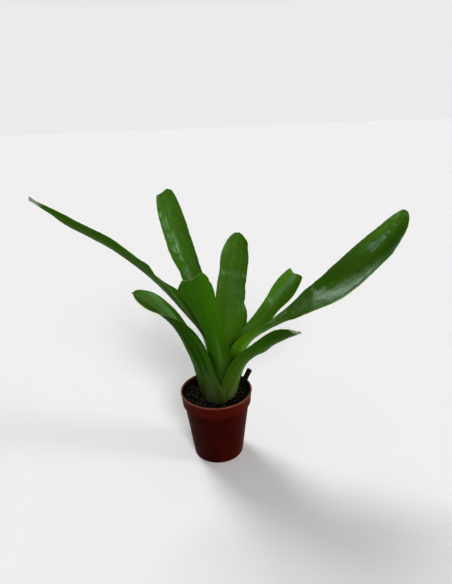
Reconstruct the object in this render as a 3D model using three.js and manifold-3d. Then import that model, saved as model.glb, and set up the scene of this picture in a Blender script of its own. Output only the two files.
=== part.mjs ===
// Potted fireball neoregelia: a rosette of nine strap leaves on a short stem, standing in the soil
// of a small terracotta-coloured plastic nursery pot.
// Millimetres, +Z up. The origin is the centre of the pot's underside and the viewer is at -Y.

import * as THREE from "three";
import { mergeVertices } from "three/addons/utils/BufferGeometryUtils.js";
import Module from "manifold-3d";

const wasm = await Module();
wasm.setup();

// Pot: the 60 mm rim is the driving size, and the plant is in proportion to it
const RIM_RADIUS = 30;
const POT_HEIGHT = 60;
const BASE_RADIUS = 21;
const BODY_TOP_RADIUS = 27.3;
const COLLAR_HEIGHT = 10.4;
const COLLAR_FOOT_RADIUS = 28.8;
const WALL = 1;
const FLOOR_THICKNESS = 1.4;
const LIP_HEIGHT = 1.2;
const LIP_OVERHANG = 0.5;
const POT_SIDES = 72;
const DRAIN_HOLES = 4;
const DRAIN_RADIUS = 3;
const DRAIN_CIRCLE = 12;

// Soil: fills the pot to a few millimetres under the rim
const SOIL_LEVEL = 54.5;
const SOIL_DOME = 0.8;

// Gap kept between pieces that touch
const CLEAR = 0.3;

// Crown: the sheaths nest round one upright line, the outermost first
const CROWN_X = 3;
const CROWN_Y = 0;
const OUTER_SHEATH_RADIUS = 14.4;
const SHEATH_STEP = 1.2;
const OUTER_SHEATH_FOOT = 50;
const SHEATH_FOOT_RISE = 0.45;
const SHEATH_HALF_WRAP = 1.25;
const LEAF_THICKNESS = 0.84;
const MARGIN_THICKNESS = 0.64;

// Stem: a short cone that the sheaths stand on, with stubby roots
const STEM_RADIUS = 15;
const STEM_FOOT_RADIUS = 4;
const STEM_HEIGHT = 16;
const ROOTS = 7;
const ROOT_LENGTH = 17;
const ROOT_RADIUS = 0.9;

// Stolon stub: the cut runner that leans out over the rim
const STUB_FOOT = [18.5, 8.3, 50];
const STUB_TIP = [29.2, 13.3, 69.5];
const STUB_RADIUS = 1.7;

// Leaves, outermost sheath first. sheath is the direction that the sheath faces, in degrees from +X.
// midrib lists the points that the midrib passes after the sheath. The other lists give a value at
// the sheath, then at 19 %, 54 % and 100 % of the length: twist in degrees, half-width in mm, and
// channel as the degrees that 10 mm across the leaf turns through. The sheath's own come from its
// place in the nest. blunt is the share of the width that is left at the end.
const LEAVES = [
  {
    name: "leaf_left_low",
    sheath: 229,
    midrib: [[-13.9, -18.9, 89.3], [-32.1, -17.1, 130.1], [-55.3, -29, 159.3]],
    twist: [0, -22, -77],
    halfWidth: [14.1, 14.1, 8.9],
    channel: [33, 80, 25],
    blunt: 0.12,
  },
  {
    name: "leaf_right_low",
    sheath: 310,
    midrib: [[20, -14, 87], [45, -26, 113], [63, -38, 128]],
    twist: [-6, -5, -13],
    halfWidth: [10.5, 11, 12.5],
    channel: [35, 38, 50],
    blunt: 0.12,
  },
  {
    name: "leaf_front_left",
    sheath: 251,
    midrib: [[5, -16, 96], [-2, -27, 135], [-13, -48, 175]],
    twist: [14, 24, 30],
    halfWidth: [13, 7.5, 14.5],
    channel: [44, 33, 22],
    blunt: 0.6,
  },
  {
    name: "leaf_left_long",
    sheath: 152,
    midrib: [
      [-8.4, 11.6, 106],
      [-29.3, 7.3, 137.7],
      [-76.8, 20.9, 178.8],
      [-105.9, 11.3, 203.2],
      [-133.8, 11.5, 223.6],
    ],
    twist: [0, 48, 82],
    halfWidth: [9.5, 15, 2.5],
    channel: [50, 19, 39],
    blunt: 0.12,
  },
  {
    name: "leaf_right_long",
    sheath: 340,
    midrib: [[26, -2, 100], [62, -1, 125], [102, -2, 153], [155, 21, 201]],
    twist: [-20, 33, 96],
    halfWidth: [13, 16.5, 11],
    channel: [40, 10, 54],
    blunt: 0.12,
  },
  {
    name: "leaf_centre_hidden",
    sheath: 69,
    midrib: [[10.2, 12.8, 78], [18.9, 28.2, 106.8], [21.6, 43, 125.6]],
    twist: [0, 14, 38],
    halfWidth: [5.6, 10.5, 7],
    channel: [61, 47, 20],
    blunt: 0.2,
  },
  {
    name: "leaf_right_mid",
    sheath: 57,
    midrib: [[18, 13.5, 90.5], [41.2, 24.1, 112.4], [71.7, 43.2, 146.1]],
    twist: [-6, 4, 34],
    halfWidth: [4.5, 7, 12],
    channel: [85, 36, 52],
    blunt: 0.55,
  },
  {
    name: "leaf_back_left",
    sheath: 122,
    midrib: [[-1, 14.5, 106], [-17, 23, 149], [-35, 32, 225]],
    twist: [-11, 4, -24],
    halfWidth: [5, 11.5, 10.5],
    channel: [77, 43, 24],
    blunt: 0.3,
  },
  {
    name: "leaf_centre_tall",
    sheath: 105,
    midrib: [[11, 11, 109], [16, 27, 148], [24, 50, 181]],
    twist: [-11, 0, -9],
    halfWidth: [10, 13, 12],
    channel: [75, 22, 25],
    blunt: 0.12,
  },
];

// Colours as they read in plain light
const POT_COLOUR = 0x6b2d22;
const SOIL_COLOUR = 0x1d1813;
const STEM_COLOUR = 0x7b7a4e;
const STUB_COLOUR = 0x24231f;
const LEAF_COLOUR = 0x3b6412;

// Value at share t of the way along a smooth curve through evenly spaced values
function along(values, t) {
  const last = values.length - 1;
  const x = THREE.MathUtils.clamp(t, 0, 1) * last;
  const i = Math.min(Math.floor(x), last - 1);
  const f = x - i;
  const b = values[i];
  const c = values[i + 1];
  const a = i > 0 ? values[i - 1] : 2 * b - c;
  const d = i < last - 1 ? values[i + 2] : 2 * c - b;
  const cubic = 3 * b - a - 3 * c + d;
  const square = 2 * a - 5 * b + 4 * c - d;
  return 0.5 * (2 * b + (c - a) * f + square * f * f + cubic * f * f * f);
}

// The values of a leaf sit closer together near its foot, where it bends most
function alongLeaf(values, s) {
  return along(values, s ** (1 / 1.5));
}

// Points at even steps along the midrib, which leaves the crown straight up
function midribPoints(points, steps) {
  const last = points.length - 1;
  const spans = [];
  for (let i = 0; i < last; i++) {
    spans.push(points[i].distanceTo(points[i + 1]));
  }
  const slope = (i) => points[i + 1].clone().sub(points[i]).divideScalar(spans[i]);
  const tangents = [new THREE.Vector3(0, 0, 1)];
  for (let i = 1; i < last; i++) {
    const before = slope(i - 1).multiplyScalar(spans[i]);
    const after = slope(i).multiplyScalar(spans[i - 1]);
    tangents.push(before.add(after).divideScalar(spans[i - 1] + spans[i]));
  }
  tangents.push(slope(last - 1).multiplyScalar(2).sub(tangents[last - 1]));

  const fine = [];
  for (let i = 0; i < last; i++) {
    for (let k = 0; k < 24; k++) {
      const t = k / 24;
      const point = points[i].clone().multiplyScalar(2 * t ** 3 - 3 * t ** 2 + 1);
      point.addScaledVector(tangents[i], (t ** 3 - 2 * t ** 2 + t) * spans[i]);
      point.addScaledVector(points[i + 1], -2 * t ** 3 + 3 * t ** 2);
      point.addScaledVector(tangents[i + 1], (t ** 3 - t ** 2) * spans[i]);
      fine.push(point);
    }
  }
  fine.push(points[last].clone());

  const reach = [0];
  for (let i = 1; i < fine.length; i++) {
    reach.push(reach[i - 1] + fine[i].distanceTo(fine[i - 1]));
  }
  const length = reach[reach.length - 1];
  const even = [];
  let k = 0;
  for (let i = 0; i <= steps; i++) {
    const goal = (length * i) / steps;
    while (k < fine.length - 2 && reach[k + 1] < goal) k++;
    const share = (goal - reach[k]) / (reach[k + 1] - reach[k]);
    even.push(fine[k].clone().lerp(fine[k + 1], share));
  }
  return { even, length };
}

// Closed mesh from a grid of front points and a grid of back points of the same size
function slabGeometry(front, back) {
  const rows = front.length;
  const columns = front[0].length;
  const positions = [];
  for (const grid of [front, back]) {
    for (const row of grid) {
      for (const point of row) positions.push(point.x, point.y, point.z);
    }
  }
  const at = (side, i, j) => (side * rows + i) * columns + j;
  const index = [];
  const quad = (a, b, c, d) => index.push(a, b, c, a, c, d);
  for (let i = 0; i < rows - 1; i++) {
    for (let j = 0; j < columns - 1; j++) {
      quad(at(0, i, j), at(0, i + 1, j), at(0, i + 1, j + 1), at(0, i, j + 1));
      const [a, b, c, d] = [at(1, i, j), at(1, i + 1, j), at(1, i + 1, j + 1), at(1, i, j + 1)];
      index.push(a, c, b, a, d, c);
    }
    const end = columns - 1;
    quad(at(0, i, 0), at(1, i, 0), at(1, i + 1, 0), at(0, i + 1, 0));
    quad(at(0, i, end), at(0, i + 1, end), at(1, i + 1, end), at(1, i, end));
  }
  for (let j = 0; j < columns - 1; j++) {
    const end = rows - 1;
    quad(at(0, 0, j), at(0, 0, j + 1), at(1, 0, j + 1), at(1, 0, j));
    quad(at(0, end, j), at(1, end, j), at(1, end, j + 1), at(0, end, j + 1));
  }
  const geometry = new THREE.BufferGeometry();
  geometry.setAttribute("position", new THREE.Float32BufferAttribute(positions, 3));
  geometry.setIndex(index);
  geometry.computeVertexNormals();
  return geometry;
}

// One strap leaf: a channelled blade swept along its midrib, its foot wrapped round the crown
function leafGeometry(leaf, place) {
  const radius = OUTER_SHEATH_RADIUS - SHEATH_STEP * place;
  const footZ = OUTER_SHEATH_FOOT + SHEATH_FOOT_RISE * place;
  const facing = THREE.MathUtils.degToRad(leaf.sheath);
  const foot = new THREE.Vector3(
    CROWN_X + radius * Math.cos(facing),
    CROWN_Y + radius * Math.sin(facing),
    footZ,
  );
  const points = [foot, ...leaf.midrib.map((point) => new THREE.Vector3(...point))];
  const rows = Math.round(midribPoints(points, 1).length / 5);
  const { even } = midribPoints(points, rows);
  const columns = 10;

  const twist = [0, ...leaf.twist];
  const halfWidth = [radius * SHEATH_HALF_WRAP, ...leaf.halfWidth];
  const channel = [THREE.MathUtils.radToDeg(10 / radius), ...leaf.channel];

  const across = new THREE.Vector3(-Math.sin(facing), Math.cos(facing), 0);
  const front = [];
  const back = [];
  for (let i = 0; i <= rows; i++) {
    const s = i / rows;
    const ahead = even[Math.min(i + 1, rows)].clone();
    const forward = ahead.sub(even[Math.max(i - 1, 0)]).normalize();
    if (i === 0) forward.set(0, 0, 1);
    across.addScaledVector(forward, -across.dot(forward)).normalize();
    const turn = THREE.MathUtils.degToRad(alongLeaf(twist, s));
    const side = across.clone().applyAxisAngle(forward, turn);
    const inward = forward.clone().cross(side);

    const toTip = THREE.MathUtils.clamp((s - 0.8) / 0.2, 0, 1);
    const tipShare = leaf.blunt + (1 - leaf.blunt) * (1 - toTip ** 2) ** 0.6;
    const reach = alongLeaf(halfWidth, s) * tipShare;
    const bend = THREE.MathUtils.degToRad(alongLeaf(channel, s)) / 10;
    front.push([]);
    back.push([]);
    for (let j = 0; j <= columns; j++) {
      const u = (2 * j) / columns - 1;
      const angle = bend * reach * u;
      const point = even[i].clone();
      point.addScaledVector(side, Math.sin(angle) / bend);
      point.addScaledVector(inward, (1 - Math.cos(angle)) / bend);
      const normal = inward.clone().multiplyScalar(Math.cos(angle));
      normal.addScaledVector(side, -Math.sin(angle));
      const half = 0.5 * THREE.MathUtils.lerp(LEAF_THICKNESS, MARGIN_THICKNESS, u ** 4);
      front[i].push(point.clone().addScaledVector(normal, half));
      back[i].push(point.clone().addScaledVector(normal, -half));
    }
  }
  return slabGeometry(front, back);
}

// Solid of revolution about a vertical line at x, y, from a profile of [radius, height] points
function turned(profile, sides, x = 0, y = 0) {
  const points = profile.map(([radius, height]) => new THREE.Vector2(radius, height));
  return new THREE.LatheGeometry(points, sides).rotateX(Math.PI / 2).translate(x, y, 0);
}

// Straight round rod between two points, with its own radius at each end
function rod(from, to, fromRadius, toRadius, sides) {
  const axis = to.clone().sub(from);
  const geometry = new THREE.CylinderGeometry(toRadius, fromRadius, axis.length(), sides);
  const upright = new THREE.Vector3(0, 1, 0);
  const turn = new THREE.Quaternion().setFromUnitVectors(upright, axis.clone().normalize());
  geometry.applyQuaternion(turn);
  const middle = from.clone().add(to).multiplyScalar(0.5);
  return geometry.translate(middle.x, middle.y, middle.z);
}

function toManifold(geometry) {
  const bare = geometry.clone();
  bare.deleteAttribute("normal");
  bare.deleteAttribute("uv");
  const merged = mergeVertices(bare, 1e-4);
  const index = merged.index.array;
  const triangles = [];
  for (let i = 0; i < index.length; i += 3) {
    const [a, b, c] = [index[i], index[i + 1], index[i + 2]];
    if (a !== b && b !== c && c !== a) triangles.push(a, b, c);
  }
  const mesh = new wasm.Mesh({
    numProp: 3,
    vertProperties: new Float32Array(merged.attributes.position.array),
    triVerts: new Uint32Array(triangles),
  });
  return new wasm.Manifold(mesh);
}

function toGeometry(manifold) {
  const mesh = manifold.getMesh();
  const geometry = new THREE.BufferGeometry();
  const positions = Array.from(mesh.vertProperties);
  geometry.setAttribute("position", new THREE.Float32BufferAttribute(positions, 3));
  geometry.setIndex(Array.from(mesh.triVerts));
  geometry.computeVertexNormals();
  return geometry;
}

// Pot wall: the body tapers down from the collar, and the lip stands out a little at the top
const COLLAR_FOOT_Z = POT_HEIGHT - COLLAR_HEIGHT;
const POT_OUTSIDE = [
  [0, 0],
  [BASE_RADIUS - 0.8, 0],
  [BASE_RADIUS, 0.8],
  [BODY_TOP_RADIUS, COLLAR_FOOT_Z - 0.3],
  [COLLAR_FOOT_RADIUS, COLLAR_FOOT_Z],
  [RIM_RADIUS - LIP_OVERHANG, POT_HEIGHT - LIP_HEIGHT - 0.4],
  [RIM_RADIUS, POT_HEIGHT - LIP_HEIGHT],
  [RIM_RADIUS, POT_HEIGHT - 0.3],
  [RIM_RADIUS - 0.3, POT_HEIGHT],
];
const POT_INSIDE = [
  [RIM_RADIUS - LIP_OVERHANG - WALL + 0.2, POT_HEIGHT],
  [RIM_RADIUS - LIP_OVERHANG - WALL, POT_HEIGHT - 0.4],
  [COLLAR_FOOT_RADIUS - WALL, COLLAR_FOOT_Z + 1],
  [BODY_TOP_RADIUS - WALL, COLLAR_FOOT_Z - 0.6],
  [BASE_RADIUS - WALL, FLOOR_THICKNESS],
  [0, FLOOR_THICKNESS],
];

function potGeometry() {
  let pot = toManifold(turned([...POT_OUTSIDE, ...POT_INSIDE], POT_SIDES));
  for (let k = 0; k < DRAIN_HOLES; k++) {
    const angle = (2 * Math.PI * (k + 0.5)) / DRAIN_HOLES;
    const x = DRAIN_CIRCLE * Math.cos(angle);
    const y = DRAIN_CIRCLE * Math.sin(angle);
    const above = new THREE.Vector3(x, y, FLOOR_THICKNESS + 1);
    const below = new THREE.Vector3(x, y, -1);
    pot = pot.subtract(toManifold(rod(below, above, DRAIN_RADIUS, DRAIN_RADIUS, 20)));
  }
  return toGeometry(pot);
}

// Stem with its roots. grow fattens it all round, for the hollow that it fills in the soil.
function stemSolid(grow) {
  const slope = SHEATH_FOOT_RISE / SHEATH_STEP;
  const drop = CLEAR + (slope * LEAF_THICKNESS) / 2;
  const topAt = (radius) => OUTER_SHEATH_FOOT + slope * (OUTER_SHEATH_RADIUS - radius) - drop;
  const rim = topAt(STEM_RADIUS);
  const foot = rim - STEM_HEIGHT;
  const profile = [
    [0, foot - grow],
    [STEM_FOOT_RADIUS + grow, foot - grow],
    [STEM_RADIUS * 0.55 + grow, foot + STEM_HEIGHT * 0.5],
    [STEM_RADIUS + grow, rim - 1.5],
    [STEM_RADIUS + grow, rim + grow],
    [0, topAt(0) + grow],
  ];
  let stem = toManifold(turned(profile, 36, CROWN_X, CROWN_Y));
  for (let k = 0; k < ROOTS; k++) {
    const angle = (2 * Math.PI * k) / ROOTS + 0.3;
    const out = new THREE.Vector3(Math.cos(angle), Math.sin(angle), 0);
    const from = new THREE.Vector3(CROWN_X, CROWN_Y, foot + 4).addScaledVector(out, 2.5);
    const dip = 1.1 + 0.5 * Math.cos(3 * angle);
    const along = out.clone().setZ(-dip).normalize();
    const to = from.clone().addScaledVector(along, ROOT_LENGTH + grow);
    stem = stem.add(toManifold(rod(from, to, ROOT_RADIUS + grow, ROOT_RADIUS * 0.6 + grow, 8)));
  }
  return stem;
}

const stubFoot = new THREE.Vector3(...STUB_FOOT);
const stubTip = new THREE.Vector3(...STUB_TIP);

// Outline of the hole round the sheaths: in each direction it clears the outermost leaf there
function crownHoleShape(leafGeometries) {
  const directions = 48;
  const window = THREE.MathUtils.degToRad(8);
  const reach = new Array(directions).fill(OUTER_SHEATH_RADIUS - 8 * SHEATH_STEP);
  for (const geometry of leafGeometries) {
    const position = geometry.attributes.position;
    for (let i = 0; i < position.count; i++) {
      if (position.getZ(i) > SOIL_LEVEL + 6) continue;
      const x = position.getX(i) - CROWN_X;
      const y = position.getY(i) - CROWN_Y;
      for (let k = 0; k < directions; k++) {
        const turn = Math.atan2(y, x) - (2 * Math.PI * k) / directions;
        const off = Math.abs(Math.atan2(Math.sin(turn), Math.cos(turn)));
        if (off < window) reach[k] = Math.max(reach[k], Math.hypot(x, y) + CLEAR);
      }
    }
  }
  const points = reach.map((radius, k) => {
    const angle = (2 * Math.PI * k) / directions;
    const x = CROWN_X + radius * Math.cos(angle);
    return new THREE.Vector2(x, CROWN_Y + radius * Math.sin(angle));
  });
  return new THREE.Shape(points);
}

function soilGeometry(leafGeometries) {
  const inside = [...POT_INSIDE].reverse();
  const [floor, base, shoulder, collar, lip] = inside;
  const share = (SOIL_LEVEL - collar[1]) / (lip[1] - collar[1]);
  const edge = THREE.MathUtils.lerp(collar[0], lip[0], share) - CLEAR;
  const profile = [
    [0, floor[1] + CLEAR],
    [base[0] - CLEAR, base[1] + CLEAR],
    [shoulder[0] - CLEAR, shoulder[1]],
    [collar[0] - CLEAR, collar[1]],
    [edge, SOIL_LEVEL],
    [edge * 0.6, SOIL_LEVEL + SOIL_DOME * 0.8],
    [0, SOIL_LEVEL + SOIL_DOME],
  ];
  const holeFoot = OUTER_SHEATH_FOOT - CLEAR - 0.3;
  const depth = SOIL_LEVEL + 5 - holeFoot;
  const prism = new THREE.ExtrudeGeometry(crownHoleShape(leafGeometries), {
    depth,
    bevelEnabled: false,
  });
  prism.translate(0, 0, holeFoot);
  const lean = stubTip.clone().sub(stubFoot).normalize();
  const stubHoleFoot = stubFoot.clone().addScaledVector(lean, -CLEAR);
  const stubHole = rod(stubHoleFoot, stubTip, STUB_RADIUS + CLEAR, STUB_RADIUS + CLEAR, 16);
  let soil = toManifold(turned(profile, POT_SIDES));
  soil = soil.subtract(stemSolid(CLEAR));
  soil = soil.subtract(toManifold(prism));
  soil = soil.subtract(toManifold(stubHole));
  return toGeometry(soil);
}

const build = new THREE.Group();

function addPiece(name, geometry, colour, roughness) {
  const material = new THREE.MeshStandardMaterial({ color: colour, roughness, metalness: 0 });
  const mesh = new THREE.Mesh(geometry, material);
  mesh.name = name;
  build.add(mesh);
}

const leafGeometries = LEAVES.map(leafGeometry);

addPiece("pot", potGeometry(), POT_COLOUR, 0.55);
addPiece("soil", soilGeometry(leafGeometries), SOIL_COLOUR, 0.95);
addPiece("stem", toGeometry(stemSolid(0)), STEM_COLOUR, 0.8);
addPiece("stolon_stub", rod(stubFoot, stubTip, STUB_RADIUS, STUB_RADIUS, 12), STUB_COLOUR, 0.8);
LEAVES.forEach((leaf, place) => {
  addPiece(leaf.name, leafGeometries[place], LEAF_COLOUR, 0.35);
});

export default build;
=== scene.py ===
# Looks of the potted fireball neoregelia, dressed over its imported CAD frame.
# Metres, +Z up, with the origin at the centre of the pot's underside and the viewer at -Y.
# Sizes are written in millimetres and multiplied by MM.

import math
import random

import bpy
from mathutils import Matrix, Vector, noise


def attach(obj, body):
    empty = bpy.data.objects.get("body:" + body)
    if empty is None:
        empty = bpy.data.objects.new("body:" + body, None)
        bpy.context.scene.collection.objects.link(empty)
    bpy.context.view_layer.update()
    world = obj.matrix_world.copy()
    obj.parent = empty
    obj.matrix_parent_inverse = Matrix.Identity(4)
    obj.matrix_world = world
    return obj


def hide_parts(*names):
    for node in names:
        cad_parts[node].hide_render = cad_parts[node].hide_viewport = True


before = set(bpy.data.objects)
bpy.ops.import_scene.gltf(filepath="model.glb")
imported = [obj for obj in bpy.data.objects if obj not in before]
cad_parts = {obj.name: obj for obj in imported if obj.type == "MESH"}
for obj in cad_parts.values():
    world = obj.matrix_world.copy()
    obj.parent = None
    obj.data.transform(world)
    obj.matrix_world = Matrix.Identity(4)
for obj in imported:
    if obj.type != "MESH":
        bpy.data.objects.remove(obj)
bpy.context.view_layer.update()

MM = 0.001

# Camera, at the photograph's place and angle
IMAGE_WIDTH = 452
IMAGE_HEIGHT = 584
FOCAL_LENGTH_PIXELS = 500
SENSOR_WIDTH = 36
CAMERA_PLACE = Vector((11.3, -365.8, 286.0)) * MM
CAMERA_LOOKS_DOWN = 20.83
CAMERA_ROLL = -2.17

# A display gamma under 1 deepens the middle tones as a phone's picture does.
DISPLAY_GAMMA = 0.78

# Pot
RIM_RADIUS = 30
POT_HEIGHT = 60
BASE_RADIUS = 21
BODY_TOP_RADIUS = 27.3
COLLAR_HEIGHT = 11.2
COLLAR_FOOT = POT_HEIGHT - COLLAR_HEIGHT
COLLAR_FOOT_RADIUS = 28.8
WALL = 1
FLOOR_THICKNESS = 1.4
LIP_HEIGHT = 1.2
LIP_OVERHANG = 0.5
INNER_RIM_RADIUS = RIM_RADIUS - LIP_OVERHANG - WALL
POT_SIDES = 144
DRAIN_HOLES = 4
DRAIN_RADIUS = 3
DRAIN_CIRCLE = 12
DRAIN_SIDES = 32

# Soil
SOIL_LEVEL = 54.5
SOIL_DOME = 0.8
SOIL_EDGE = 27.9
CRUST_CELLS = 128
CRUST_THICKNESS = 1.5
LOOSE_SOIL_EDGE = 27.6

# Directions and points at which the ring of sheaths is measured
CROWN_DIRECTIONS = 72
SHEATH_ROWS = 9
SHEATH_ROW_STEP = 1.5
SHEATH_COLUMNS = 20
SHEATH_BAND = 3

# Crown, where the sheaths nest round one upright line
CROWN = Vector((3, 0, 0))
OUTER_SHEATH_RADIUS = 14.4
SHEATH_STEP = 1.2
OUTER_SHEATH_FOOT = 50
SHEATH_FOOT_RISE = 0.45
SHEATH_HALF_WRAP = 1.25

# Blades, whose shape is worked out at even stations and laid on a grid of rows and columns
LEAF_THICKNESS = 0.84
MARGIN_THICKNESS = 0.6
MARGIN_ROUNDING = 0.17
STATIONS = 240
CURVE_STEPS = 60
ROW_STEP = 1.1
COLUMNS = 26

# Relief of a blade's skin: slow waves, ripples along the margins, small puckers, the groove over
# the midrib, the short teeth on the margins and the slow wander of the outline. The widths of the
# groove and the rib are shares of the blade's half width.
WAVE_LENGTH = 22
WAVE_HEIGHT = 0.5
RIPPLE_LENGTH = 6.5
RIPPLE_HEIGHT = 0.35
PUCKER_LENGTH = 5
GROOVE_DEPTH = 0.14
GROOVE_WIDTH = 0.14
TOOTH_SPACING = 5.2
TOOTH_BASE = 1.3
TOOTH_LENGTH = 0.25
WANDER_LENGTH = 9
WANDER = 0.25
RIB_WIDTH = 0.2
SPOT_RADIUS = 1.4

# Stub of the runner, leaning out over the rim
STUB_FOOT = Vector((18.5, 8.3, 50))
STUB_TIP = Vector((29.2, 13.3, 69.5))
STUB_RADIUS = 1.7
STUB_WIDTH_SHARE = 1.3
STUB_DEPTH_SHARE = 0.8
STUB_SIDES = 24
STUB_RINGS = 26
STUB_SCAR = 0.62

# Colours in a blade: its midrib, the youngest part near the foot, which is also painted lighter
# against the shade there, the sheath's pale and green patches, the brown spots, the dried tip and
# the tint of the wax's shine
RIB_COLOUR = "#6a8648"
YOUNG_AND_LIT_COLOUR = "#7fb41c"
SHEATH_PALE = "#5c6547"
SHEATH_GREEN = "#45541d"
SPOT_COLOUR = "#1d1a08"
DRIED_COLOUR = "#a3a994"
WAX_SHEEN = "#d0f0ff"

# Colours of the pot's plastic: its clouds, the collar, painted lighter as if it caught more light,
# the painted shade in the crevice under the collar and on the inside wall, and the lip, worn pale
# and partly a painted highlight
PLASTIC_DARK = "#340300"
PLASTIC_LIGHT = "#430c02"
COLLAR_PAINTED_LIGHT = "#56170a"
CREVICE_PAINTED_SHADE = "#120000"
INSIDE_PAINTED_SHADE = "#120403"
LIP_WEAR_AND_HIGHLIGHT = "#8a5a4c"

# Sockets of the Mix node that carry its colours
MIX_LOW_COLOUR = 6
MIX_HIGH_COLOUR = 7
MIX_RESULT_COLOUR = 2

# Leaves, outermost sheath first. The first seven values are the CAD's own:
#   sheath      direction of the sheath from the crown's line, in degrees
#   midrib      points of the midrib above the sheath
#   twist       turn of the blade about its midrib, in degrees
#   half_width  half the width of the blade laid flat
#   channel     how strongly the blade cups, in degrees per 10 mm across
#   blunt       half width at the very tip, as a share
# The others are the looks. Places across a blade run from -1 at one margin to 1 at the other, and
# a negative depth sticks out or a negative height sinks in.
#   end         cuts of the end: (place across, depth, width)
#   edge        nicks of a margin: (which margin, distance from the foot, depth, reach)
#   swell       swells across the whole blade: (distance from the foot, height, reach)
#   pucker      height of the small puckers
#   rib         how plainly the midrib shows, and with rib_low only near the foot
#   dry         length of the dried tip, and tip_spread how far it fans out
#   spots       small brown spots: (distance from the foot, place across)
#    tone        how light the inner face is, and under_tone the outer face: partly the leaf's own green, partly painted light or shade for how each leaf is lit
#    young       how yellow and light the blade turns towards its foot: partly its paler, newer tissue, partly painted light against the shade there
LEAVES = [
    dict(
        name="leaf_left_low",
        sheath=229,
        midrib=[(-13.9, -18.9, 89.3), (-32.1, -17.1, 130.1), (-55.3, -29, 159.3)],
        twist=[0, -22, -77],
        half_width=[14.1, 14.1, 8.9],
        channel=[33, 80, 25],
        blunt=0.12,
        end=[(0, -1.8, 0.4)],
        edge=[(1, 58, -1.5, 10)],
        rib=4,
        tone=0.45,
        under_tone=0.2,
    ),
    dict(
        name="leaf_right_low",
        sheath=310,
        midrib=[(20, -14, 87), (45, -26, 113), (63, -38, 128)],
        twist=[-6, -5, -13],
        half_width=[10.5, 11, 12.5],
        channel=[35, 38, 50],
        blunt=0.12,
        end=[(0, -1.5, 0.3)],
        swell=[(64, -1.1, 5)],
        dry=3,
        tone=0.35,
        under_tone=0.3,
        young=0.1,
    ),
    dict(
        name="leaf_front_left",
        sheath=251,
        midrib=[(5, -16, 96), (-2, -27, 135), (-13, -48, 175)],
        twist=[14, 24, 30],
        half_width=[13, 7.5, 14.5],
        channel=[44, 33, 22],
        blunt=0.6,
        end=[(-0.7, -1.6, 0.5), (0, 0.8, 0.5)],
        edge=[(-1, 135, 4, 7), (1, 122, 0.7, 2.4)],
        rib=3.2,
        rib_low=True,
        tone=0.4,
        under_tone=0.7,
    ),
    dict(
        name="leaf_left_long",
        sheath=152,
        midrib=[
            (-8.4, 11.6, 106),
            (-29.3, 7.3, 137.7),
            (-76.8, 20.9, 178.8),
            (-105.9, 11.3, 203.2),
            (-133.8, 11.5, 223.6),
        ],
        twist=[0, 48, 82],
        half_width=[9.5, 15, 2.5],
        channel=[50, 19, 39],
        blunt=0.12,
        edge=[(1, 52, -4, 12), (1, 103, -3, 7), (1, 126, -3, 6)],
        dry=9,
        tip_spread=1.5,
        tone=0.8,
        under_tone=0.7,
        young=0.6,
    ),
    dict(
        name="leaf_right_long",
        sheath=340,
        midrib=[(26, -2, 100), (62, -1, 125), (102, -2, 153), (155, 21, 201)],
        twist=[-20, 33, 96],
        half_width=[13, 16.5, 11],
        channel=[40, 10, 54],
        blunt=0.12,
        swell=[(118, 0.5, 7), (150, -0.7, 8), (172, 0.5, 7)],
        pucker=0.3,
        spots=[(158, -0.1), (148, -0.75)],
        tone=0.45,
        under_tone=0.7,
        young=0.7,
    ),
    dict(
        name="leaf_centre_hidden",
        sheath=69,
        midrib=[(10.2, 12.8, 78), (18.9, 28.2, 106.8), (21.6, 43, 125.6)],
        twist=[0, 14, 38],
        half_width=[5.6, 10.5, 7],
        channel=[61, 47, 20],
        blunt=0.2,
        tone=0.4,
        under_tone=0.4,
        young=0.5,
    ),
    dict(
        name="leaf_right_mid",
        sheath=57,
        midrib=[(18, 13.5, 90.5), (41.2, 24.1, 112.4), (71.7, 43.2, 146.1)],
        twist=[-6, 4, 34],
        half_width=[4.5, 7, 12],
        channel=[85, 36, 52],
        blunt=0.55,
        end=[(0.15, 1.3, 0.4)],
        swell=[(88, 1.2, 9)],
        tone=0.75,
        under_tone=0.6,
        young=0.6,
    ),
    dict(
        name="leaf_back_left",
        sheath=122,
        midrib=[(-1, 14.5, 106), (-17, 23, 149), (-35, 32, 225)],
        twist=[-11, 4, -24],
        half_width=[5, 11.5, 10.5],
        channel=[77, 43, 24],
        blunt=0.3,
        end=[(1, 5, 1.4), (-1, 2.5, 0.35)],
        swell=[(112, 1.0, 10)],
        pucker=0.45,
        tone=0.45,
        under_tone=0.5,
        young=0.6,
    ),
    dict(
        name="leaf_centre_tall",
        sheath=105,
        midrib=[(11, 11, 109), (16, 27, 148), (24, 50, 181)],
        twist=[-11, 0, -9],
        half_width=[10, 13, 12],
        channel=[75, 22, 25],
        blunt=0.12,
        end=[(-0.1, -0.9, 0.5)],
        edge=[(-1, 94, 0.6, 3), (-1, 80, 0.5, 3), (-1, 133, -1, 3)],
        swell=[(104, 1.5, 8)],
        tone=0.5,
        under_tone=0.5,
        young=0.8,
    ),
]

# What a leaf has where its own entry says nothing
PLAIN_LOOKS = dict(
    end=[],
    edge=[],
    swell=[],
    pucker=0.12,
    rib=1,
    rib_low=False,
    dry=0,
    tip_spread=0,
    spots=[],
    young=0,
)


# Making a piece


def deselect_all():
    bpy.ops.object.select_all(action="DESELECT")


def only(piece):
    """Makes a piece the one selected and active object."""
    deselect_all()
    piece.select_set(True)
    bpy.context.view_layer.objects.active = piece


def new_primitive(add, name, **settings):
    """Adds a primitive with a bpy.ops call, with its place applied to its mesh."""
    deselect_all()
    add(**settings)
    piece = bpy.context.active_object
    piece.name = name
    piece.data.name = name
    bpy.ops.object.transform_apply(location=True, rotation=True, scale=True)
    return piece


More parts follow.
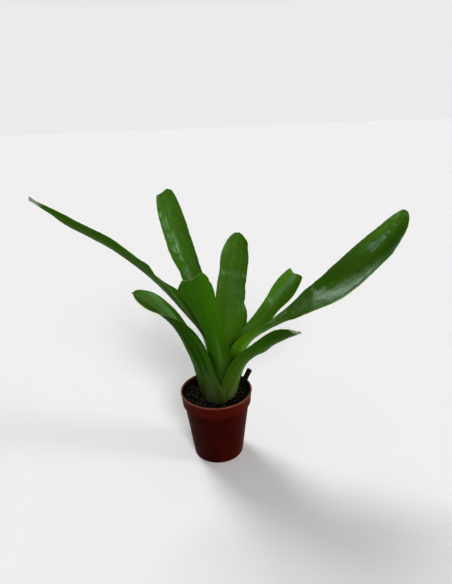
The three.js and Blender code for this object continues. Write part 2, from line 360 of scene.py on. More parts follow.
def apply_modifier(piece, kind, **settings):
    only(piece)
    modifier = piece.modifiers.new(kind.lower(), kind)
    for setting, value in settings.items():
        setattr(modifier, setting, value)
    bpy.ops.object.modifier_apply(modifier=modifier.name)


def smooth(piece, degrees):
    only(piece)
    bpy.ops.object.shade_smooth_by_angle(angle=math.radians(degrees))


def select_for_edit(piece, parts, chosen):
    """Opens a piece in edit mode with only the chosen vertices or polygons selected."""
    only(piece)
    bpy.ops.object.mode_set(mode="EDIT")
    bpy.ops.mesh.select_mode(type="VERT" if parts == "vertices" else "FACE")
    bpy.ops.mesh.select_all(action="DESELECT")
    bpy.ops.object.mode_set(mode="OBJECT")
    for part in getattr(piece.data, parts):
        part.select = chosen(part)
    bpy.ops.object.mode_set(mode="EDIT")


def coat(piece, *materials):
    """Gives a piece these materials in place of any that it has."""
    piece.data.materials.clear()
    for material in materials:
        piece.data.materials.append(material)


def finish_piece(piece, slot, *nodes):
    """Seats a finished piece in the frame, in place of the CAD nodes that it stands for."""
    if nodes:
        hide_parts(*nodes)
    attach(piece, "root")


def clamp(x, low=0.0, high=1.0):
    return min(max(x, low), high)


def ease(x):
    """Smooth step from 0 to 1."""
    x = clamp(x)
    return x * x * (3 - 2 * x)


def hump(x, centre, reach):
    """Smooth hump that is 1 at its centre and all but gone at twice its reach."""
    return math.exp(-(((x - centre) / reach) ** 2))


def turned_piece(name, profile, sides):
    """Round piece about +Z: a disc whose ring is extruded from one (radius, height) to the next."""
    radius, height = profile[0]
    piece = new_primitive(
        bpy.ops.mesh.primitive_circle_add,
        name,
        vertices=sides,
        radius=radius * MM,
        fill_type="NGON",
        location=(0, 0, height * MM),
    )
    bpy.ops.object.mode_set(mode="EDIT")
    bpy.ops.mesh.select_mode(type="EDGE")
    bpy.ops.mesh.select_all(action="SELECT")
    for next_radius, next_height in profile[1:]:
        bpy.ops.mesh.extrude_edges_move()
        share = next_radius / radius
        bpy.ops.transform.resize(value=(share, share, 1), center_override=(0, 0, 0))
        bpy.ops.transform.translate(value=(0, 0, (next_height - height) * MM))
        radius, height = next_radius, next_height
    bpy.ops.mesh.edge_face_add()
    bpy.ops.mesh.select_all(action="SELECT")
    bpy.ops.mesh.normals_make_consistent(inside=False)
    bpy.ops.object.mode_set(mode="OBJECT")
    return piece


def make_camera():
    data = bpy.data.cameras.new("camera")
    data.sensor_width = SENSOR_WIDTH
    data.lens = SENSOR_WIDTH * FOCAL_LENGTH_PIXELS / max(IMAGE_WIDTH, IMAGE_HEIGHT)
    camera = bpy.data.objects.new("camera", data)
    bpy.context.scene.collection.objects.link(camera)
    tilt = Matrix.Rotation(math.radians(90 - CAMERA_LOOKS_DOWN), 4, "X")
    roll = Matrix.Rotation(math.radians(CAMERA_ROLL), 4, "Z")
    camera.matrix_world = Matrix.Translation(CAMERA_PLACE) @ tilt @ roll
    bpy.context.scene.camera = camera


# Materials


def colour(hex_value):
    """Linear RGBA from an sRGB hex value."""
    channels = [int(hex_value[i : i + 2], 16) / 255 for i in (1, 3, 5)]
    linear = [c / 12.92 if c <= 0.04045 else ((c + 0.055) / 1.055) ** 2.4 for c in channels]
    return (*linear, 1)


def add_node(tree, kind, values=None, links=None, **settings):
    """A node with its settings, the values of its sockets and the links into them."""
    made = tree.nodes.new(kind)
    for setting, value in settings.items():
        setattr(made, setting, value)
    for socket, value in (values or {}).items():
        made.inputs[socket].default_value = value
    for socket, source in (links or {}).items():
        tree.links.new(source, made.inputs[socket])
    return made


def new_material(name):
    material = bpy.data.materials.new(name)
    material.use_nodes = True
    material.node_tree.nodes.clear()
    return material, material.node_tree


def finish_material(tree, shader):
    add_node(tree, "ShaderNodeOutputMaterial", links={"Surface": shader.outputs["BSDF"]})


def mixed(tree, share, low, high):
    """Colour mix of two colours or colour sockets by a share socket."""
    values = {}
    links = {"Factor": share}
    for socket, side in ((MIX_LOW_COLOUR, low), (MIX_HIGH_COLOUR, high)):
        if isinstance(side, tuple):
            values[socket] = side
        else:
            links[socket] = side
    made = add_node(tree, "ShaderNodeMix", values, links, data_type="RGBA")
    return made.outputs[MIX_RESULT_COLOUR]


def scaled(tree, value, low, high, to_low=0.0, to_high=1.0):
    """A value taken from one range to another and held at its ends."""
    made = add_node(
        tree,
        "ShaderNodeMapRange",
        {"From Min": low, "From Max": high, "To Min": to_low, "To Max": to_high},
        {"Value": value},
    )
    return made.outputs["Result"]


def painted(tree, name):
    """A value that was painted on the leaf."""
    return add_node(tree, "ShaderNodeAttribute", attribute_name=name).outputs["Fac"]


def leaf_grain(tree, across, lengthwise, detail, seed):
    """Noise in the leaf's UV map, with so many features across it and per 100 mm lengthwise."""
    place = add_node(tree, "ShaderNodeUVMap", uv_map="blade")
    mapping = add_node(
        tree,
        "ShaderNodeMapping",
        {"Scale": (across, lengthwise, 1), "Location": (seed, seed, 0)},
        {"Vector": place.outputs["UV"]},
    )
    texture = add_node(
        tree,
        "ShaderNodeTexNoise",
        {"Scale": 1, "Detail": detail, "Roughness": 0.5},
        {"Vector": mapping.outputs["Vector"]},
        noise_dimensions="2D",
    )
    return texture.outputs["Fac"]


def solid_grain(tree, place, width, detail):
    """Noise in the piece's own space, with features so many millimetres wide."""
    texture = add_node(
        tree,
        "ShaderNodeTexNoise",
        {"Scale": 1 / (width * MM), "Detail": detail},
        {"Vector": place},
    )
    return texture.outputs["Fac"]


def leaf_material(name, tone, dark, light, bloom, bloom_share, young_and_lit_share, rough, gloss, seed):
    """Bromeliad leaf: a grown, waxy skin. Its parallel veins, about 1 mm apart, show as faint
    streaks and ridges lengthwise, and a greyish bloom of scales lies in fine bands across. The
    real bands are too fine to show, so they are drawn about 1 mm apart. The wax gives soft, broad,
    slightly bluish highlights."""
    material, tree = new_material(name)
    veins = leaf_grain(tree, across=26, lengthwise=1.2, detail=3, seed=seed)
    cloud = leaf_grain(tree, across=3, lengthwise=2.5, detail=2, seed=seed + 5)
    bands = leaf_grain(tree, across=2.2, lengthwise=90, detail=2, seed=seed + 9)

    # Each leaf's tone is partly its own green and partly painted light or shade for how that leaf
    # is lit.
    green = mixed(tree, painted(tree, tone), colour(dark), colour(light))
    green = mixed(tree, scaled(tree, veins, 0.3, 0.7, 0, 0.4), green, colour(light))
    green = mixed(tree, scaled(tree, cloud, 0.35, 0.75, 0, 0.15), green, colour(dark))
    rib = scaled(tree, painted(tree, "rib"), 0, 4, 0, 0.48)
    green = mixed(tree, rib, green, colour(RIB_COLOUR))
    # Painted light, in part: the blade turns yellower and lighter towards its foot, for its newer
    # tissue and to lift the shade there.
    young = scaled(tree, painted(tree, "young"), 0, 1, 0, young_and_lit_share)
    green = mixed(tree, young, green, colour(YOUNG_AND_LIT_COLOUR))
    scales = scaled(tree, bands, 0.35, 0.75, bloom_share * 0.5, bloom_share)
    green = mixed(tree, scales, green, colour(bloom))
    patches = scaled(tree, cloud, 0.4, 0.6)
    sheath = mixed(tree, patches, colour(SHEATH_PALE), colour(SHEATH_GREEN))
    on_sheath = scaled(tree, painted(tree, "sheath"), 0, 1, 0, 0.75)
    green = mixed(tree, on_sheath, green, sheath)
    green = mixed(tree, painted(tree, "spot"), green, colour(SPOT_COLOUR))
    skin = mixed(tree, painted(tree, "dry"), green, colour(DRIED_COLOUR))

    relief = add_node(
        tree, "ShaderNodeBump", {"Strength": 1, "Distance": 0.24 * MM}, {"Height": veins}
    )
    shader = add_node(
        tree,
        "ShaderNodeBsdfPrincipled",
        {
            "IOR": 1.45,
            "Specular IOR Level": gloss,
            "Specular Tint": colour(WAX_SHEEN),
            "Subsurface Weight": 0.12,
            "Subsurface Radius": (0.5, 1.0, 0.15),
            "Subsurface Scale": 1.2 * MM,
        },
        {
            "Base Color": skin,
            "Roughness": scaled(tree, cloud, 0.4, 0.65, rough - 0.04, rough + 0.16),
            "Normal": relief.outputs["Normal"],
        },
    )
    finish_material(tree, shader)
    return material


def mottled_material(name, dark, light, grain, rough, gloss, relief=0.0):
    """Skin of two mottled colours, whose grain and its relief are so many millimetres."""
    material, tree = new_material(name)
    place = add_node(tree, "ShaderNodeTexCoord").outputs["Object"]
    mottle = solid_grain(tree, place, grain, 4)
    skin = mixed(tree, scaled(tree, mottle, 0.3, 0.7), colour(dark), colour(light))
    links = {"Base Color": skin}
    if relief:
        bump = add_node(
            tree, "ShaderNodeBump", {"Strength": 1, "Distance": relief * MM}, {"Height": mottle}
        )
        links["Normal"] = bump.outputs["Normal"]
    values = {"Roughness": rough, "Specular IOR Level": gloss}
    shader = add_node(tree, "ShaderNodeBsdfPrincipled", values, links)
    finish_material(tree, shader)
    return material


def pot_material():
    """Polypropylene, injection-moulded and dyed terracotta: satin and a little cloudy. The collar
    is painted lighter, as if it caught more light, there is painted shade in the crevice under the
    collar and on the inside wall, and the lip is worn pale and partly a painted highlight."""
    material, tree = new_material("terracotta polypropylene")
    place = add_node(tree, "ShaderNodeTexCoord").outputs["Object"]
    height = add_node(tree, "ShaderNodeSeparateXYZ", links={"Vector": place}).outputs["Z"]
    cloud = solid_grain(tree, place, 14, 3)
    scuffs = solid_grain(tree, place, 1.6, 5)

    clouds = scaled(tree, cloud, 0.3, 0.7)
    plastic = mixed(tree, clouds, colour(PLASTIC_DARK), colour(PLASTIC_LIGHT))
    # The collar is painted lighter than the body, as if it caught more light.
    on_collar = scaled(tree, height, (COLLAR_FOOT - 0.1) * MM, (COLLAR_FOOT + 0.1) * MM)
    plastic = mixed(tree, scaled(tree, on_collar, 0, 1, 0, 0.6), plastic, colour(COLLAR_PAINTED_LIGHT))

    # Painted shade: a dark band just under the collar, where shade falls.
    collar_shade_band = scaled(tree, height, (COLLAR_FOOT - 1.8) * MM, (COLLAR_FOOT - 0.4) * MM, 0, 0.7)
    crevice = add_node(
        tree,
        "ShaderNodeMath",
        links={0: collar_shade_band, 1: on_collar},
        operation="SUBTRACT",
        use_clamp=True,
    ).outputs[0]
    plastic = mixed(tree, crevice, plastic, colour(CREVICE_PAINTED_SHADE))

    # Painted shade on the inside wall, above the collar's foot.
    level_place = add_node(
        tree, "ShaderNodeVectorMath", {1: (1, 1, 0)}, {0: place}, operation="MULTIPLY"
    ).outputs["Vector"]
    radius = add_node(
        tree, "ShaderNodeVectorMath", links={0: level_place}, operation="LENGTH"
    ).outputs["Value"]
    inside = scaled(
        tree, radius, (INNER_RIM_RADIUS - 0.1) * MM, (INNER_RIM_RADIUS + 0.3) * MM, 0.75, 0
    )
    inside_shade = add_node(
        tree, "ShaderNodeMath", links={0: inside, 1: on_collar}, operation="MULTIPLY"
    ).outputs[0]
    plastic = mixed(tree, inside_shade, plastic, colour(INSIDE_PAINTED_SHADE))

    # The lip is painted paler: partly wear, partly a painted highlight.
    lip = scaled(tree, height, (POT_HEIGHT - 1.6) * MM, (POT_HEIGHT - 0.2) * MM)
    lip_wear_and_highlight = add_node(
        tree,
        "ShaderNodeMath",
        links={0: lip, 1: scaled(tree, scuffs, 0.3, 0.6, 0.5, 1)},
        operation="MULTIPLY",
    ).outputs[0]
    plastic = mixed(tree, lip_wear_and_highlight, plastic, colour(LIP_WEAR_AND_HIGHLIGHT))

    relief = add_node(
        tree, "ShaderNodeBump", {"Strength": 0.5, "Distance": 0.03 * MM}, {"Height": scuffs}
    )
    shader = add_node(
        tree,
        "ShaderNodeBsdfPrincipled",
        {"IOR": 1.49, "Specular IOR Level": 0.035},
        {
            "Base Color": plastic,
            "Roughness": scaled(tree, scuffs, 0.3, 0.7, 0.38, 0.52),
            "Normal": relief.outputs["Normal"],
        },
    )
    finish_material(tree, shader)
    return material


# Pot


def arc(centre, radius, start, end, steps):
    """Points of a circular arc in the (radius, height) plane, with its angles in degrees."""
    points = []
    for k in range(steps + 1):
        angle = math.radians(start + (end - start) * k / steps)
        points.append((centre[0] + radius * math.cos(angle), centre[1] + radius * math.sin(angle)))
    return points


def make_pot(material):
    """Thin-walled pot turned from one profile: up the outside, over the lip and down the inside."""
    lip_foot = POT_HEIGHT - LIP_HEIGHT
    foot = [
        (BASE_RADIUS - 1.6, 0),
        *arc((BASE_RADIUS - 0.9, 0.9), 0.9, -80, -10, 4),
    ]
    body = [
        (BASE_RADIUS + 1.4, 11),
        (BASE_RADIUS + 3.5, 28),
        (BODY_TOP_RADIUS - 0.15, COLLAR_FOOT - 1.2),
        (BODY_TOP_RADIUS, COLLAR_FOOT - 0.4),
        (BODY_TOP_RADIUS + 0.35, COLLAR_FOOT - 0.1),
    ]
    collar = [
        *arc((COLLAR_FOOT_RADIUS - 0.4, COLLAR_FOOT + 0.4), 0.4, -75, 0, 3),
        (COLLAR_FOOT_RADIUS + 0.35, COLLAR_FOOT + 5),
        (RIM_RADIUS - LIP_OVERHANG, lip_foot - 0.7),
        (RIM_RADIUS - LIP_OVERHANG + 0.15, lip_foot - 0.25),
    ]
    lip = [
        *arc((RIM_RADIUS - 0.6, POT_HEIGHT - 0.6), 0.6, -30, 90, 7),
        *arc((INNER_RIM_RADIUS + 0.4, POT_HEIGHT - 0.4), 0.4, 90, 180, 4),
    ]
    inside = [
        (COLLAR_FOOT_RADIUS - WALL, COLLAR_FOOT + 1),
        (BODY_TOP_RADIUS - WALL, COLLAR_FOOT - 0.6),
        (BASE_RADIUS - WALL + 1.3, 11),
        (BASE_RADIUS - WALL + 0.1, FLOOR_THICKNESS + 0.5),
        (BASE_RADIUS - WALL - 0.6, FLOOR_THICKNESS),
        (BASE_RADIUS - WALL - 4, FLOOR_THICKNESS),
    ]
    pot = turned_piece("plastic_pot", foot + body + collar + lip + inside, POT_SIDES)
    for k in range(DRAIN_HOLES):
        angle = 2 * math.pi * (k + 0.5) / DRAIN_HOLES
        cutter = new_primitive(
            bpy.ops.mesh.primitive_cylinder_add,
            "drain_cutter",
            vertices=DRAIN_SIDES,
            radius=DRAIN_RADIUS * MM,
            depth=4 * MM,
            location=(
                DRAIN_CIRCLE * MM * math.cos(angle),
                DRAIN_CIRCLE * MM * math.sin(angle),
                FLOOR_THICKNESS * MM / 2,
            ),
        )
        apply_modifier(pot, "BOOLEAN", operation="DIFFERENCE", object=cutter, solver="EXACT")
        bpy.data.objects.remove(cutter)
    smooth(pot, 35)
    coat(pot, material)
    finish_piece(pot, "pot_plastic", "pot")


# Leaves


def along(values, t):
    """Value at share t of the way along a smooth curve through evenly spaced values."""
    last = len(values) - 1
    x = clamp(t) * last
    i = min(int(x), last - 1)
    f = x - i
    b = values[i]
    c = values[i + 1]
    a = values[i - 1] if i > 0 else 2 * b - c
    d = values[i + 2] if i < last - 1 else 2 * c - b
    cubic = 3 * b - a - 3 * c + d
    square = 2 * a - 5 * b + 4 * c - d
    return 0.5 * (2 * b + (c - a) * f + square * f * f + cubic * f * f * f)


def along_leaf(values, s):
    """A leaf's values sit closer together near its foot, where it bends most."""
    return along(values, s ** (1 / 1.5))


def midrib_stations(points):
    """Even stations on the midrib, which leaves the crown straight up, and its length."""
    last = len(points) - 1
    spans = [(points[i + 1] - points[i]).length for i in range(last)]
    slopes = [(points[i + 1] - points[i]) / spans[i] for i in range(last)]
    tangents = [Vector((0, 0, 1))]
    for i in range(1, last):
        before = slopes[i - 1] * spans[i]
        after = slopes[i] * spans[i - 1]
        tangents.append((before + after) / (spans[i - 1] + spans[i]))
    tangents.append(2 * slopes[-1] - tangents[-1])
    curve = []
    for i in range(last):
        for k in range(CURVE_STEPS):
            t = k / CURVE_STEPS
            point = points[i] * (2 * t**3 - 3 * t**2 + 1)
            point += tangents[i] * (t**3 - 2 * t**2 + t) * spans[i]
            point += points[i + 1] * (3 * t**2 - 2 * t**3)
            point += tangents[i + 1] * (t**3 - t**2) * spans[i]
            curve.append(point)
    curve.append(points[-1].copy())
    run = [0.0]
    for start, end in zip(curve, curve[1:]):
        run.append(run[-1] + (end - start).length)
    length = run[-1]
    stations = []
    k = 0
    for i in range(STATIONS + 1):
        goal = length * i / STATIONS
        while k < len(curve) - 2 and run[k + 1] < goal:
            k += 1
        share = (goal - run[k]) / (run[k + 1] - run[k])
        stations.append(curve[k].lerp(curve[k + 1], share))
    return stations, length


class Blade:
    """The middle surface of one leaf, in millimetres."""

    def __init__(self, leaf, place):
        self.blunt = leaf["blunt"]
        radius = OUTER_SHEATH_RADIUS - SHEATH_STEP * place
        azimuth = math.radians(leaf["sheath"])
        foot = CROWN + Vector((math.cos(azimuth), math.sin(azimuth), 0)) * radius
        foot.z = OUTER_SHEATH_FOOT + SHEATH_FOOT_RISE * place
        points = [foot] + [Vector(point) for point in leaf["midrib"]]
        self.centres, self.length = midrib_stations(points)
        self.twist = [0, *leaf["twist"]]
        self.half_width = [radius * SHEATH_HALF_WRAP, *leaf["half_width"]]
        self.channel = [math.degrees(10 / radius), *leaf["channel"]]
        self.frames = []
        across = Vector((-math.sin(azimuth), math.cos(azimuth), 0))
        for i in range(STATIONS + 1):
            ahead = self.centres[min(i + 1, STATIONS)]
            behind = self.centres[max(i - 1, 0)]
            tangent = (ahead - behind).normalized() if i else Vector((0, 0, 1))
            across = (across - tangent * tangent.dot(across)).normalized()
            inward = tangent.cross(across)
            turn = math.radians(along_leaf(self.twist, i / STATIONS))
            side = across * math.cos(turn) + inward * math.sin(turn)
            self.frames.append((side, tangent.cross(side)))

    def point(self, s, u, lift=0.0, spread=0.0):
        """Place at share s of the length and u from -1 to 1 across, lifted to the inner face."""
        step = clamp(s) * STATIONS
        i = min(int(step), STATIONS - 1)
        f = step - i
        centre = self.centres[i].lerp(self.centres[i + 1], f)
        if s > 1:
            centre += (self.centres[-1] - self.centres[-2]) * (s - 1) * STATIONS
        side = self.frames[i][0].lerp(self.frames[i + 1][0], f).normalized()
        inward = self.frames[i][1].lerp(self.frames[i + 1][1], f).normalized()
        # The last fifth narrows to the tip.
        to_tip = clamp((s - 0.8) / 0.2)
        share = self.blunt + (1 - self.blunt) * (1 - to_tip**2) ** 0.6
        width = along_leaf(self.half_width, s) * share + spread
        bend = max(math.radians(along_leaf(self.channel, s)) / 10, 1e-4)
        angle = bend * width * u
        sideways = math.sin(angle) / bend - math.sin(angle) * lift
        raised = (1 - math.cos(angle)) / bend + math.cos(angle) * lift
        return centre + side * sideways + inward * raised


def cut_back(leaf, u):
    """How far the leaf's end is cut back at u, in millimetres."""
    return sum(depth * hump(u, across, width) for across, depth, width in leaf["end"])


def skin_lift(leaf, place, mm, u, grown, near_end):
    """How far the skin is lifted towards the inner face at one point of a blade. The leaf's place
    in the rosette shifts each pattern, so that no two leaves match."""
    wave = noise.noise(Vector((mm / WAVE_LENGTH, u * 0.7, place * 9.1)))
    ripple = math.sin(mm / RIPPLE_LENGTH + place * 2.3 + 2 * wave) * abs(u) ** 3
    pucker = noise.noise(Vector((mm / PUCKER_LENGTH, u * 2.2 + 7, place * 5.3)))
    lift = grown * (WAVE_HEIGHT * wave + RIPPLE_HEIGHT * ripple + leaf["pucker"] * pucker)
    lift -= GROOVE_DEPTH * hump(u, 0, GROOVE_WIDTH) * grown * (1 - near_end)
    for middle, height, reach in leaf["swell"]:
        lift += height * hump(mm, middle, reach) * grown
    return lift


def margin_spread(leaf, place, length, mm, u, grown):
    """How much wider the blade is at one point than its plain outline."""
    spread = leaf["tip_spread"] * hump(mm, length, 4)
    spread += WANDER * grown * noise.noise(Vector((mm / WANDER_LENGTH, u * 0.5 + 4, place * 3.7)))
    for side, middle, depth, reach in leaf["edge"]:
        spread -= depth * hump(mm, middle, reach) * clamp(side * u) ** 3
    if abs(u) > 0.97 and 30 < mm < 0.97 * length:
        spread += TOOTH_LENGTH * max(0.0, 1 - (mm % TOOTH_SPACING) / TOOTH_BASE)
    return spread


def skin_paint(leaf, length, widest, mm, u, grown):
    """What the leaf material reads at one point of a blade."""
    dried = 0.0
    if leaf["dry"]:
        dried = ease((mm - length + leaf["dry"] * 1.4) / (leaf["dry"] * 0.8))
    spotted = 0.0
    for middle, across in leaf["spots"]:
        away = math.hypot(mm - middle, (u - across) * widest)
        spotted = max(spotted, clamp(SPOT_RADIUS - away))
    rib = leaf["rib"] * hump(u, 0, RIB_WIDTH) * grown
    if leaf["rib_low"]:
        rib *= 1 - ease((mm - 45) / 40)
    return {
        "tone": leaf["tone"],
        "under_tone": leaf["under_tone"],
        "sheath": 1 - ease((mm - 8) / 44),
        "young": leaf["young"] * (1 - ease((mm - 45) / 60)),
        "dry": dried,
        "rib": rib,
        "spot": spotted,
    }


def make_leaf(leaf, place, materials):
    """A flat grid whose rows are laid along the blade, then thickened and rounded at its edges."""
    blade = Blade(leaf, place)
    length = blade.length
    widest = blade.half_width[-2]
    piece = new_primitive(
        bpy.ops.mesh.primitive_grid_add,
        leaf["name"] + "_blade",
        x_subdivisions=COLUMNS,
        y_subdivisions=round(length / ROW_STEP),
        size=2,
    )
    mesh = piece.data
    for layer in list(mesh.uv_layers):
        mesh.uv_layers.remove(layer)
    middle = piece.vertex_groups.new(name="middle")
    flat_places = []
    paints = []
    for vertex in mesh.vertices:
        u = vertex.co.x
        t = (vertex.co.y + 1) / 2
        # The rows draw closer together towards the tip.
        s = 1 - (1 - t) ** 1.15
        mm = s * length
        grown = ease((mm - 20) / 30)
        near_end = ease((s - 0.85) / 0.15)
        lift = skin_lift(leaf, place, mm, u, grown, near_end)
        spread = margin_spread(leaf, place, length, mm, u, grown)
        kept = s - cut_back(leaf, u) * near_end / length
        vertex.co = blade.point(kept, u, lift, spread) * MM
        flat_places.append(((u + 1) / 2, mm / 100))
        paints.append(skin_paint(leaf, length, widest, mm, u, grown))
        middle.add([vertex.index], 1 - abs(u) ** 3, "REPLACE")
    for name in paints[0]:
        values = [paint[name] for paint in paints]
        mesh.attributes.new(name, "FLOAT", "POINT").data.foreach_set("value", values)
    layer = mesh.uv_layers.new(name="blade")
    for loop in mesh.loops:
        layer.data[loop.index].uv = flat_places[loop.vertex_index]
    coat(piece, *materials)
    # The offsets pick the second material for the inner face and the third for the margin.
    apply_modifier(
        piece,
        "SOLIDIFY",
        thickness=LEAF_THICKNESS * MM,
        offset=0,
        vertex_group="middle",
        thickness_vertex_group=MARGIN_THICKNESS / LEAF_THICKNESS,
        use_rim=True,
        material_offset=1,
        material_offset_rim=2,
    )
    apply_modifier(
        piece,
        "BEVEL",
        width=MARGIN_ROUNDING * MM,
        segments=2,
        limit_method="ANGLE",
        angle_limit=math.radians(60),
        use_clamp_overlap=True,
    )
    smooth(piece, 60)
    finish_piece(piece, "leaf", leaf["name"])
    return blade


# Soil


def crown_edge(blades):
    """In each direction from the crown's line, how far out the outermost sheath stands where the
    sheaths leave the soil."""
    edge = [0.0] * CROWN_DIRECTIONS
    for blade in blades:
        for row in range(SHEATH_ROWS):
            for column in range(-SHEATH_COLUMNS, SHEATH_COLUMNS + 1):
                s = row * SHEATH_ROW_STEP / blade.length
                point = blade.point(s, column / SHEATH_COLUMNS) - CROWN
                if abs(point.z - SOIL_LEVEL) > SHEATH_BAND:
                    continue
                turn = math.degrees(math.atan2(point.y, point.x))
                k = round(turn * CROWN_DIRECTIONS / 360) % CROWN_DIRECTIONS
                edge[k] = max(edge[k], math.hypot(point.x, point.y))
    return edge


def past_crown(edge, x, y):
    """How far a place on the soil lies outside the sheaths."""
    away = math.hypot(x - CROWN.x, y - CROWN.y)
    turn = math.degrees(math.atan2(y - CROWN.y, x - CROWN.x))
    k = turn * CROWN_DIRECTIONS / 360 % CROWN_DIRECTIONS
    i = int(k)
    following = edge[(i + 1) % CROWN_DIRECTIONS]
    return away - (edge[i] + (following - edge[i]) * (k - i))


def soil_height(x, y):
    """Lumpy surface of the soil, in millimetres."""
    radius = math.hypot(x, y)
    dome = SOIL_LEVEL + SOIL_DOME * (1 - (radius / 28) ** 2)
    lumps = 0.9 * noise.noise(Vector((x / 5, y / 5, 3.3)))
    crumbs = 0.55 * noise.noise(Vector((x / 1.7, y / 1.7, 8.1)))
    fine = 0.25 * noise.noise(Vector((x / 0.8, y / 0.8, 1.7)))
    return dome + 0.35 + lumps + crumbs + fine


def off_soil(edge, x, y):
    """Whether a place lies past the pot's wall or well inside the ring of sheaths."""
    return math.hypot(x, y) > SOIL_EDGE or past_crown(edge, x, y) < -0.2


def make_soil_crust(edge, material):
    """The lumpy top of the soil: a fine grid cut to the pot's wall and to the ring of sheaths."""
    crust = new_primitive(
        bpy.ops.mesh.primitive_grid_add,
        "soil_crust",
        x_subdivisions=CRUST_CELLS,
        y_subdivisions=CRUST_CELLS,
        size=2 * SOIL_EDGE * MM,
    )
    for vertex in crust.data.vertices:
        vertex.co.z = soil_height(vertex.co.x / MM, vertex.co.y / MM) * MM
    select_for_edit(
        crust, "vertices", lambda vertex: off_soil(edge, vertex.co.x / MM, vertex.co.y / MM)
    )
    bpy.ops.mesh.delete(type="VERT")
    bpy.ops.object.mode_set(mode="OBJECT")
    apply_modifier(crust, "SOLIDIFY", thickness=CRUST_THICKNESS * MM, offset=-1, use_rim=True)
    smooth(crust, 50)
    coat(crust, material)
    finish_piece(crust, "soil")


def scatter(name, count, sizes, stretch, edge, material, seed):
    """Loose bits on the soil: copies of one small lump, so many millimetres wide, each turned,
    stretched and knocked out of round at random, in one mesh."""
    chance = random.Random(seed)
    lump = new_primitive(bpy.ops.mesh.primitive_ico_sphere_add, name, subdivisions=1, radius=1)
    round_corners = [vertex.co.copy() for vertex in lump.data.vertices]
    round_faces = [list(face.vertices) for face in lump.data.polygons]
    corners = []
    faces = []
    placed = 0
    while placed < count:
        radius = 28 * math.sqrt(chance.random())
        angle = chance.uniform(0, 2 * math.pi)
        x, y = radius * math.cos(angle), radius * math.sin(angle)
        size = sizes[0] + (sizes[1] - sizes[0]) * chance.random() ** 2
        if radius > LOOSE_SOIL_EDGE - size / 2 or past_crown(edge, x, y) < 0.5 + size / 3:
            continue
        placed += 1
        turn = Matrix.Rotation(chance.uniform(0, 6.3), 4, "Z")
        turn = turn @ Matrix.Rotation(chance.uniform(-0.6, 0.6), 4, "Y")
        long = size * chance.uniform(*stretch)
        shape = Matrix.Diagonal((long / 2, size * 0.4, size * chance.uniform(0.45, 0.8) / 2, 1))
        place = Matrix.Translation((x, y, soil_height(x, y) + size * 0.15))
        first = len(corners)
        for corner in round_corners:
            knock = Vector([chance.uniform(-1, 1) for _ in range(3)]) * size * 0.09
            corners.append((place @ turn @ shape @ corner + knock) * MM)
        faces.extend([first + k for k in face] for face in round_faces)
    lump.data.clear_geometry()
    lump.data.from_pydata(corners, [], faces)
    coat(lump, material)
    finish_piece(lump, "soil")


# Stub of the runner


def make_stub(material):
    """A dried flattened rod with ridges along it, an old scar round it and a square-cut end."""
    stub = new_primitive(
        bpy.ops.mesh.primitive_cylinder_add,
        "runner_stub",
        vertices=STUB_SIDES,
        radius=1,
        depth=1,
        end_fill_type="NGON",
    )
    select_for_edit(stub, "polygons", lambda face: abs(face.normal.z) > 0.9)
    bpy.ops.mesh.inset(thickness=0.25)
    for ring in range(1, STUB_RINGS):
        bpy.ops.mesh.select_all(action="SELECT")
        bpy.ops.mesh.bisect(plane_co=(0, 0, ring / STUB_RINGS - 0.5), plane_no=(0, 0, 1))
    bpy.ops.object.mode_set(mode="OBJECT")

    length = (STUB_TIP - STUB_FOOT).length
    upright = (STUB_TIP - STUB_FOOT).normalized()
    broad = upright.cross(Vector((0, 1, 0))).normalized()
    narrow = upright.cross(broad)
    middle = (STUB_FOOT + STUB_TIP) / 2
    for vertex in stub.data.vertices:
        angle = math.atan2(vertex.co.y, vertex.co.x)
        share = vertex.co.z + 0.5
        radius = math.hypot(vertex.co.x, vertex.co.y) * STUB_RADIUS
        radius *= 1 + 0.05 * math.cos(7 * angle) + 0.06 * hump(share, STUB_SCAR, 0.03)
        radius *= 1 + 0.05 * noise.noise(Vector((angle, share * 6, 2)))
        height = vertex.co.z * length
        # The cut at the tip slants a little.
        if share > 0.99:
            height += 0.35 * math.cos(angle + 1) * radius / STUB_RADIUS
        place = middle + upright * height
        place += broad * (STUB_WIDTH_SHARE * radius * math.cos(angle))
        place += narrow * (STUB_DEPTH_SHARE * radius * math.sin(angle))
        vertex.co = place * MM
    smooth(stub, 35)
    coat(stub, material)
    finish_piece(stub, "dry_stub", "stolon_stub")


# Studio


def make_floor():
    """Matte pale paper, so that nothing is mirrored in it."""
    floor = new_primitive(bpy.ops.mesh.primitive_plane_add, "studio_floor", size=12)
    material, tree = new_material("pale paper floor")
    shader = add_node(
        tree,
        "ShaderNodeBsdfPrincipled",
        {"Base Color": colour("#fcfcfc"), "Roughness": 0.9, "Specular IOR Level": 0.0},
    )
    finish_material(tree, shader)
    coat(floor, material)


def make_light(name, azimuth, elevation, spread, strength):
    """Far soft light from one direction, as wide in the sky as so many degrees."""
    data = bpy.data.lights.new(name, "SUN")
    data.angle = math.radians(spread)
    data.energy = strength
    light = bpy.data.objects.new(name, data)
    bpy.context.scene.collection.objects.link(light)
    around, up = math.radians(azimuth), math.radians(elevation)
    light.location = (
        math.cos(around) * math.cos(up),
        math.sin(around) * math.cos(up),
        math.sin(up),
    )
    light.rotation_euler = (-light.location).to_track_quat("-Z", "Y").to_euler()


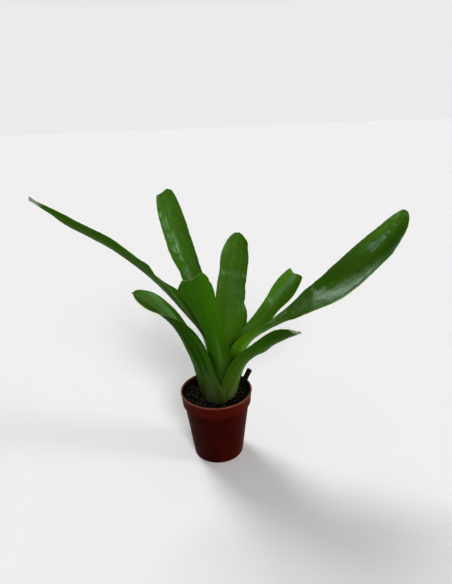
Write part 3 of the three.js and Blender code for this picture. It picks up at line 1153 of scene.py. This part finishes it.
def make_world():
    """Pale near the horizon, behind the plant, and dimmer overhead, as a studio ceiling is."""
    world = bpy.data.worlds.new("studio")
    bpy.context.scene.world = world
    world.use_nodes = True
    tree = world.node_tree
    place = add_node(tree, "ShaderNodeTexCoord").outputs["Generated"]
    height = add_node(tree, "ShaderNodeSeparateXYZ", links={"Vector": place}).outputs["Z"]
    share = scaled(tree, height, 0.15, 0.55)
    sky = mixed(tree, share, colour("#fbfbfb"), colour("#686868"))
    tree.links.new(sky, tree.nodes["Background"].inputs["Color"])
    tree.nodes["Background"].inputs["Strength"].default_value = 0.9


make_camera()

# Outer face of a leaf: deep green, with a little more bloom and much less shine
leaf_under = leaf_material(
    "leaf underside",
    tone="under_tone",
    dark="#163000",
    light="#417000",
    bloom="#3c4f30",
    bloom_share=0.07,
    young_and_lit_share=0.7,
    rough=0.36,
    gloss=0.05,
    seed=1.0,
)
# Inner face of a leaf: lighter green under a glossier wax
leaf_upper = leaf_material(
    "leaf upper side",
    tone="tone",
    dark="#1c3b00",
    light="#588318",
    bloom="#4a6a3c",
    bloom_share=0.02,
    young_and_lit_share=0.45,
    rough=0.2,
    gloss=0.2,
    seed=3.0,
)
# Leaf margin: a thin pale seam where the two skins meet
leaf_margin = mottled_material(
    "leaf margin", dark="#4c6a26", light="#728f48", grain=3, rough=0.5, gloss=0.2
)
# Milled peat, sieved and damp: near black and matte, in crumbs of about 1 mm
peat = mottled_material(
    "damp peat", dark="#020100", light="#15100b", grain=0.9, rough=0.95, gloss=0.1, relief=0.3
)
# Composted bark, shredded: dull brown chips with paler torn faces
bark = mottled_material(
    "composted bark", dark="#15100a", light="#54452f", grain=1.5, rough=0.9, gloss=0.1, relief=0.2
)
# Grit, crushed stone: pale, dusty grains
grit = mottled_material(
    "grey grit", dark="#6a6656", light="#c4beaa", grain=1.0, rough=0.85, gloss=0.1, relief=0.1
)
# Dried runner: dark and tough, a little wrinkled, with hardly any shine
dried_runner = mottled_material(
    "dried runner", dark="#090908", light="#201f1c", grain=0.8, rough=0.6, gloss=0.1, relief=0.15
)
# Stem, a grown corky skin: dull, in patches of olive and straw
stem_skin = mottled_material(
    "stem skin", dark="#6a6a42", light="#8c8a5c", grain=2.0, rough=0.7, gloss=0.2, relief=0.1
)

make_pot(pot_material())
blades = []
for place, leaf in enumerate(LEAVES):
    blades.append(make_leaf(PLAIN_LOOKS | leaf, place, (leaf_under, leaf_upper, leaf_margin)))

edge = crown_edge(blades)
make_soil_crust(edge, peat)
scatter("soil_crumbs", 1100, (0.5, 1.7), (0.9, 1.5), edge, peat, 11)
scatter("soil_bark", 420, (0.5, 1.7), (1.2, 2.6), edge, bark, 12)
scatter("soil_grit", 620, (0.25, 0.75), (0.9, 1.4), edge, grit, 13)
make_stub(dried_runner)
coat(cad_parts["soil"], peat)
coat(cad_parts["stem"], stem_skin)

make_floor()
make_light("window_back_left", 124, 44, 24, 1.55)
make_light("softbox_front_right", -74, 34, 18, 1.55)
make_light("low_front_fill", -11, 7, 18, 2.0)
make_world()
bpy.context.scene.view_settings.view_transform = "Standard"
bpy.context.scene.view_settings.gamma = DISPLAY_GAMMA
